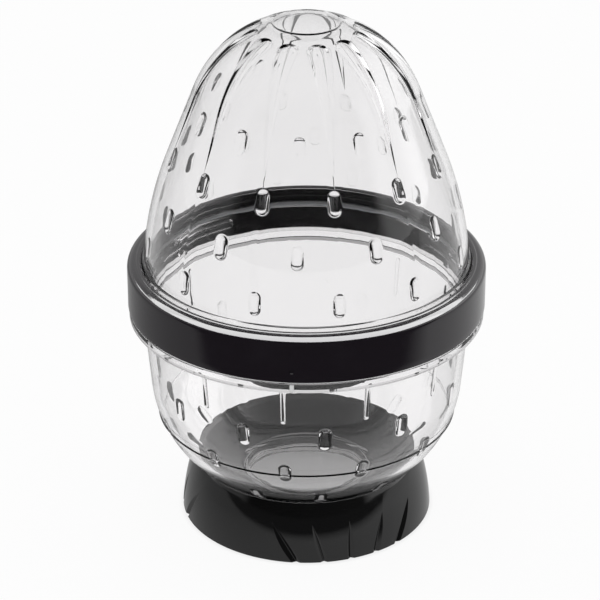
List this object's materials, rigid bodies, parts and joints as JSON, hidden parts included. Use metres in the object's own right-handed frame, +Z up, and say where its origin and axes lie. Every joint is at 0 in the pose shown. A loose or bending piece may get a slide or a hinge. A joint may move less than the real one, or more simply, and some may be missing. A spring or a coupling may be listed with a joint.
{
  "type": "egg peeler",
  "caption": "Clear shaker that peels boiled eggs: a fluted dome and a footed bowl, both with nubs inside, joined by a twist-on collar over a soft seal.",
  "frame": {"origin": "centre of the foot's underside, on the table", "axes": "+Z up along the common axis of all pieces, +X to the right and -Y towards the viewer in the picture"},
  "size_m": [0.124, 0.124, 0.1833],
  "materials": {
    "clear": "clear gloss",
    "collar_black": "satin",
    "foot_black": "gloss",
    "silicone": "satin"
  },
  "bodies": {
    "base": {"bowl": "clear", "foot": "foot_black"},
    "lid": {"dome": "clear", "seal": "silicone"},
    "ring": {"collar": "collar_black"}
  },
  "joints": [
    {"name": "lid_lift", "type": "slide", "parent": "base", "child": "lid", "axis": [0, 0, 1], "range_m": [0, 0.028]},
    {"name": "collar_turn", "type": "hinge", "parent": "lid", "child": "ring", "pos_m": [0, 0, 0.09], "axis": [0, 0, 1], "range_deg": [0, 360]}
  ],
  "couplings": [
    {"joint": "lid_lift", "follows": "collar_turn", "m_per_rad": 0.0044563}
  ]
}
